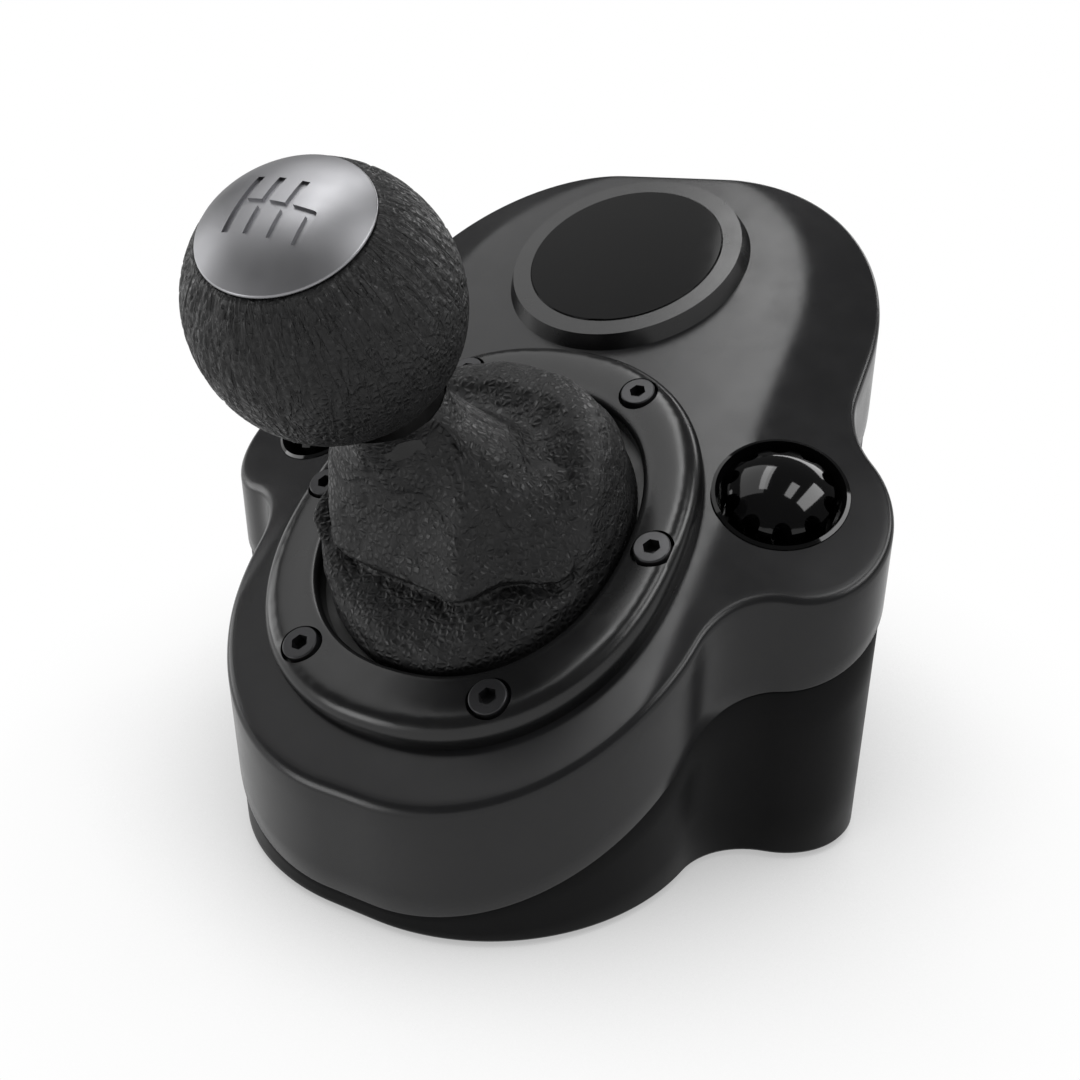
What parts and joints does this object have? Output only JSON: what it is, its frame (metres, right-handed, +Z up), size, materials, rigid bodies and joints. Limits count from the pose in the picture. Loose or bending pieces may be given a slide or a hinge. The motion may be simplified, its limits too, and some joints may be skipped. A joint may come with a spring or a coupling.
{
  "type": "sim racing gear shifter",
  "caption": "Wedge-shaped desktop gear shifter with a gaitered lever, round knob with metal cap, push-down reverse and screw clamps under two side wings.",
  "frame": {"origin": "middle of the four base bolt holes, in the base plate's underside", "axes": "+X to the right of the driver, +Y away from the driver and up the slope of the deck, +Z up"},
  "size_m": [0.1498, 0.1517, 0.1304],
  "materials": {
    "shell": "fine satin texture, dark grey",
    "shell_low": "fine satin texture, near black",
    "bezel": "smooth satin black",
    "gloss": "polished black",
    "badge_gloss": "polished deep black, weakly reflecting",
    "inner_plastic": "plain moulded black",
    "nylon": "plain moulded off-white",
    "sensor_plastic": "plain moulded blue",
    "boot_leather": "soft grained black",
    "knob_leather": "stretched, finely wrinkled black",
    "cap_metal": "satin, blasted",
    "lever_steel": "turned and brushed",
    "spring_steel": "plain steel",
    "dark_steel": "blackened",
    "brass": "turned",
    "board_green": "solder mask",
    "chip_black": "moulded",
    "header_cream": "moulded",
    "foot_rubber": "soft, dull"
  },
  "bodies": {
    "housing": {"upper_shell": "shell", "lower_shell": "shell_low", "base_plate": "shell_low", "base_screws": "dark_steel", "feet": "foot_rubber", "bezel": "bezel", "bezel_screws": "dark_steel", "boot_frame": "inner_plastic", "boot": "boot_leather", "badge_base": "bezel", "badge_disc": "badge_gloss", "pivot_bracket": "inner_plastic", "bracket_screws": "dark_steel", "gate_plate": "lever_steel", "gate_standoffs": "brass", "gate_screws": "dark_steel", "select_sensor": "sensor_plastic", "ballast": "lever_steel", "circuit_board": "board_green", "board_posts": "inner_plastic", "board_screws": "dark_steel", "board_chip": "chip_black", "board_header": "header_cream", "cable_gland": "foot_rubber", "dish_right": "gloss", "dish_left": "gloss"},
    "cradle": {"select_cradle": "nylon", "shift_sensor": "sensor_plastic"},
    "hub": {"lever_hub": "nylon", "stub_pins": "lever_steel", "push_spring": "spring_steel"},
    "stick": {"lever_rod": "lever_steel", "knob_core": "inner_plastic", "knob_leather": "knob_leather", "knob_cap": "cap_metal", "lever_collar": "inner_plastic", "spring_seat": "lever_steel"},
    "clamp_screw_right": {"clamp_knob_right": "gloss", "clamp_spindle_right": "spring_steel"},
    "jaw_right": {"clamp_jaw_right": "inner_plastic", "jaw_pad_right": "foot_rubber"},
    "clamp_screw_left": {"clamp_knob_left": "gloss", "clamp_spindle_left": "spring_steel"},
    "jaw_left": {"clamp_jaw_left": "inner_plastic", "jaw_pad_left": "foot_rubber"}
  },
  "joints": [
    {"name": "select_tilt", "type": "hinge", "parent": "housing", "child": "cradle", "pos_m": [0, 0.00856, 0.04448], "axis": [0, 0.8448, 0.5351], "range_deg": [0, 23.1], "deforming": ["boot"]},
    {"name": "shift_tilt", "type": "hinge", "parent": "cradle", "child": "hub", "pos_m": [0, 0.00856, 0.04448], "axis": [0.991, -0.0717, 0.1132], "range_deg": [-10, 10]},
    {"name": "push_down", "type": "slide", "parent": "hub", "child": "stick", "axis": [0.134, 0.5303, -0.8372], "range_m": [0, 0.005], "stiffness_N_per_m": 1500, "springref_m": -0.004, "deforming": ["push_spring"]},
    {"name": "clamp_turn_right", "type": "hinge", "parent": "housing", "child": "clamp_screw_right", "pos_m": [0.0535, 0.01956, 0.0686], "axis": [0.1788, -0.5265, 0.8312], "range_deg": [0, 2250]},
    {"name": "jaw_slide_right", "type": "slide", "parent": "housing", "child": "jaw_right", "axis": [-0.1788, 0.5265, -0.8312], "range_m": [0, 0.03]},
    {"name": "clamp_turn_left", "type": "hinge", "parent": "housing", "child": "clamp_screw_left", "pos_m": [-0.0535, 0.01956, 0.0686], "axis": [-0.1788, -0.5265, 0.8312], "range_deg": [0, 2250]},
    {"name": "jaw_slide_left", "type": "slide", "parent": "housing", "child": "jaw_left", "axis": [0.1788, 0.5265, -0.8312], "range_m": [0, 0.03]}
  ],
  "couplings": [
    {"joint": "clamp_turn_right", "follows": "jaw_slide_right", "rad_per_m": 1256.6},
    {"joint": "clamp_turn_left", "follows": "jaw_slide_left", "rad_per_m": 1256.6}
  ]
}
